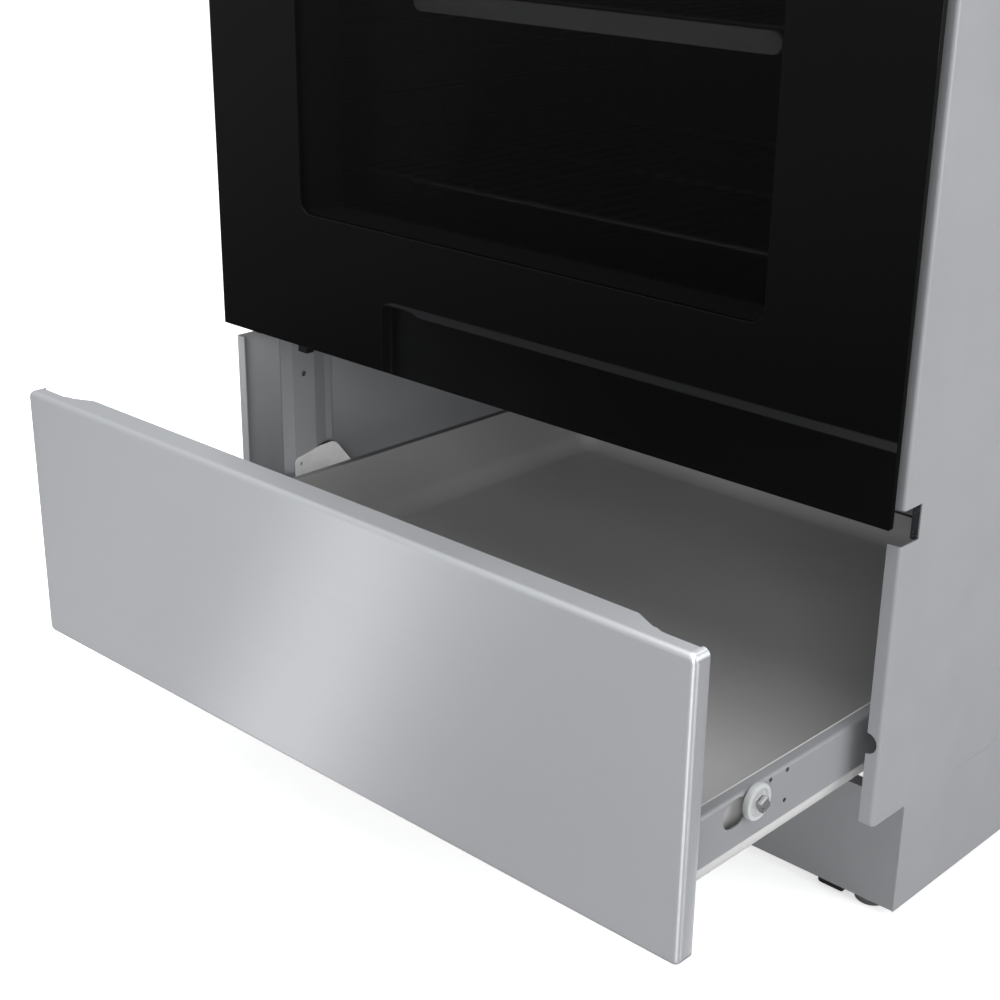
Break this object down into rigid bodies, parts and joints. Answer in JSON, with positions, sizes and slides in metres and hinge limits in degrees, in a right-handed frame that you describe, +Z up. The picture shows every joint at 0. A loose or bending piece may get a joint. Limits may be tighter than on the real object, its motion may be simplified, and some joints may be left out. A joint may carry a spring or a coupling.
{
  "type": "freestanding gas range",
  "caption": "Freestanding gas range: gas cooktop with cast grates, glass-fronted oven with drop-down door and racks, turning knobs, and a roll-out storage drawer below.",
  "frame": {"origin": "bottom centre of the part's box at rest, on the floor, with the storage drawer open as stored", "axes": "+Z up, +X to the right as seen by the person who stands in front, +Y to the back"},
  "size_m": [0.759, 0.9686, 1.188],
  "materials": {
    "grey_paint": "satin silver-grey paint on sheet steel",
    "stainless": "fine horizontal brushed grain",
    "galvanised": "dull zinc-coated steel",
    "pale_steel": "matt pale grey coat",
    "black_glass": "polished black-bordered tempered glass",
    "clear_glass": "polished, lightly tinted",
    "black_enamel": "semi-gloss black",
    "dark_enamel": "dark speckled porcelain enamel",
    "cast_iron": "matt black enamelled casting",
    "aluminium": "satin cast",
    "chrome": "bright plated wire",
    "brass": "machined",
    "rubber": "matt black",
    "nylon": "pale grey moulded nylon",
    "gasket": "braided glass-fibre rope"
  },
  "bodies": {
    "chassis": {"side_panel_right": "grey_paint", "side_panel_left": "grey_paint", "front_upright_right": "grey_paint", "front_upright_left": "grey_paint", "toe_panel": "grey_paint", "rear_panel": "galvanised", "front_frame": "black_enamel", "oven_liner": "dark_enamel", "oven_floor": "dark_enamel", "bake_burner": "galvanised", "broil_burner": "galvanised", "oven_gasket": "gasket", "hinge_bracket_right": "galvanised", "hinge_bracket_left": "galvanised", "drawer_guide_right": "pale_steel", "drawer_guide_left": "pale_steel", "foot_front_right": "aluminium", "foot_front_left": "aluminium", "foot_rear_right": "aluminium", "foot_rear_left": "aluminium", "skid_block_right": "rubber", "skid_block_left": "rubber", "cooktop": "stainless", "burner_base_front_left": "aluminium", "burner_cap_front_left": "cast_iron", "burner_base_front_right": "aluminium", "burner_cap_front_right": "cast_iron", "burner_base_rear_left": "aluminium", "burner_cap_rear_left": "cast_iron", "burner_base_rear_right": "aluminium", "burner_cap_rear_right": "cast_iron", "grate_right": "cast_iron", "grate_left": "cast_iron", "control_panel": "stainless", "gas_manifold": "brass", "gas_regulator": "aluminium", "gas_supply_pipe": "aluminium", "backguard": "stainless", "display_panel": "black_glass"},
    "door": {"door_glass": "black_glass", "door_frame": "black_enamel", "door_inner_glass": "clear_glass", "door_liner": "dark_enamel", "door_hinge_right": "galvanised", "door_hinge_left": "galvanised", "door_handle": "stainless"},
    "drawer": {"drawer_front": "stainless", "drawer_tub": "grey_paint"},
    "drawer_roller_right": {"drawer_roller_right": "nylon"},
    "drawer_roller_left": {"drawer_roller_left": "nylon"},
    "rack_lower": {"oven_rack_lower": "chrome"},
    "rack_upper": {"oven_rack_upper": "chrome"},
    "stem_1": {"valve_stem_1": "brass"},
    "knob_1": {"knob_1": "stainless"},
    "stem_2": {"valve_stem_2": "brass"},
    "knob_2": {"knob_2": "stainless"},
    "stem_3": {"valve_stem_3": "brass"},
    "knob_3": {"knob_3": "stainless"},
    "stem_4": {"valve_stem_4": "brass"},
    "knob_4": {"knob_4": "stainless"}
  },
  "joints": [
    {"name": "oven_door_hinge", "type": "hinge", "parent": "chassis", "child": "door", "pos_m": [0, -0.2382, 0.375], "axis": [1, 0, 0], "range_deg": [0, 90], "stiffness_Nm_per_rad": 8, "springref_deg": -20.05},
    {"name": "drawer_slide", "type": "slide", "parent": "chassis", "child": "drawer", "axis": [0, -1, 0], "range_m": [-0.221, 0.13]},
    {"name": "drawer_roller_right_spin", "type": "hinge", "parent": "drawer", "child": "drawer_roller_right", "pos_m": [0.357, -0.3732, 0.18], "axis": [1, 0, 0], "continuous": true},
    {"name": "drawer_roller_left_spin", "type": "hinge", "parent": "drawer", "child": "drawer_roller_left", "pos_m": [-0.357, -0.3732, 0.18], "axis": [1, 0, 0], "continuous": true},
    {"name": "rack_lower_slide", "type": "slide", "parent": "chassis", "child": "rack_lower", "axis": [0, -1, 0], "range_m": [0, 0.025]},
    {"name": "rack_upper_slide", "type": "slide", "parent": "chassis", "child": "rack_upper", "axis": [0, -1, 0], "range_m": [0, 0.025]},
    {"name": "burner_knob_1_turn", "type": "hinge", "parent": "chassis", "child": "stem_1", "pos_m": [-0.285, -0.2757, 0.853], "axis": [0, -1, 0], "range_deg": [0, 225]},
    {"name": "burner_knob_1_push", "type": "slide", "parent": "stem_1", "child": "knob_1", "axis": [0, 1, 0], "range_m": [0, 0.0035], "stiffness_N_per_m": 900, "springref_m": -0.002},
    {"name": "burner_knob_2_turn", "type": "hinge", "parent": "chassis", "child": "stem_2", "pos_m": [-0.165, -0.2757, 0.853], "axis": [0, -1, 0], "range_deg": [0, 225]},
    {"name": "burner_knob_2_push", "type": "slide", "parent": "stem_2", "child": "knob_2", "axis": [0, 1, 0], "range_m": [0, 0.0035], "stiffness_N_per_m": 900, "springref_m": -0.002},
    {"name": "burner_knob_3_turn", "type": "hinge", "parent": "chassis", "child": "stem_3", "pos_m": [0.165, -0.2757, 0.853], "axis": [0, -1, 0], "range_deg": [0, 225]},
    {"name": "burner_knob_3_push", "type": "slide", "parent": "stem_3", "child": "knob_3", "axis": [0, 1, 0], "range_m": [0, 0.0035], "stiffness_N_per_m": 900, "springref_m": -0.002},
    {"name": "burner_knob_4_turn", "type": "hinge", "parent": "chassis", "child": "stem_4", "pos_m": [0.285, -0.2757, 0.853], "axis": [0, -1, 0], "range_deg": [0, 225]},
    {"name": "burner_knob_4_push", "type": "slide", "parent": "stem_4", "child": "knob_4", "axis": [0, 1, 0], "range_m": [0, 0.0035], "stiffness_N_per_m": 900, "springref_m": -0.002}
  ]
}
